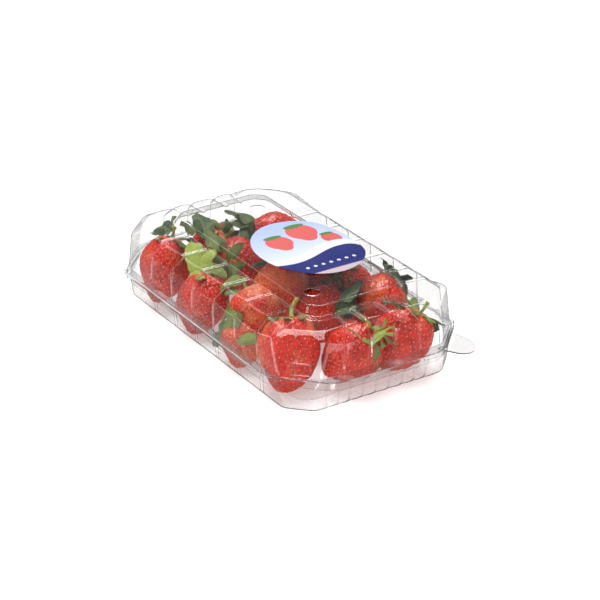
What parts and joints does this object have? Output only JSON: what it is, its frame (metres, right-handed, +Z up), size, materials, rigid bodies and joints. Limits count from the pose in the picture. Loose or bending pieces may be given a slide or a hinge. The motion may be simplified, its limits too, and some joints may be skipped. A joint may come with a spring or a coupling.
{
  "type": "strawberry punnet with hinged lid",
  "caption": "Shut clear plastic clamshell punnet with cut corners, grooved lid, vents, opening tongue and oval label, filled with large strawberries.",
  "frame": {"origin": "middle of the footprint, on the surface that the punnet stands on", "axes": "+X along the punnet, +Y across it away from the hinge, +Z up"},
  "size_m": [0.1956, 0.1163, 0.0476],
  "materials": {
    "clear_film": "clear, glossy",
    "label_paper": "semi gloss",
    "strawberry": "moist, seeded"
  },
  "bodies": {
    "tray": {"tray": "clear_film", "hinge": "clear_film", "strawberries": "strawberry"},
    "lid": {"lid": "clear_film", "label": "label_paper"}
  },
  "joints": [
    {"name": "lid_hinge", "type": "hinge", "parent": "tray", "child": "lid", "pos_m": [0, -0.0578, 0.01905], "axis": [1, 0, 0], "range_deg": [0, 150]}
  ]
}
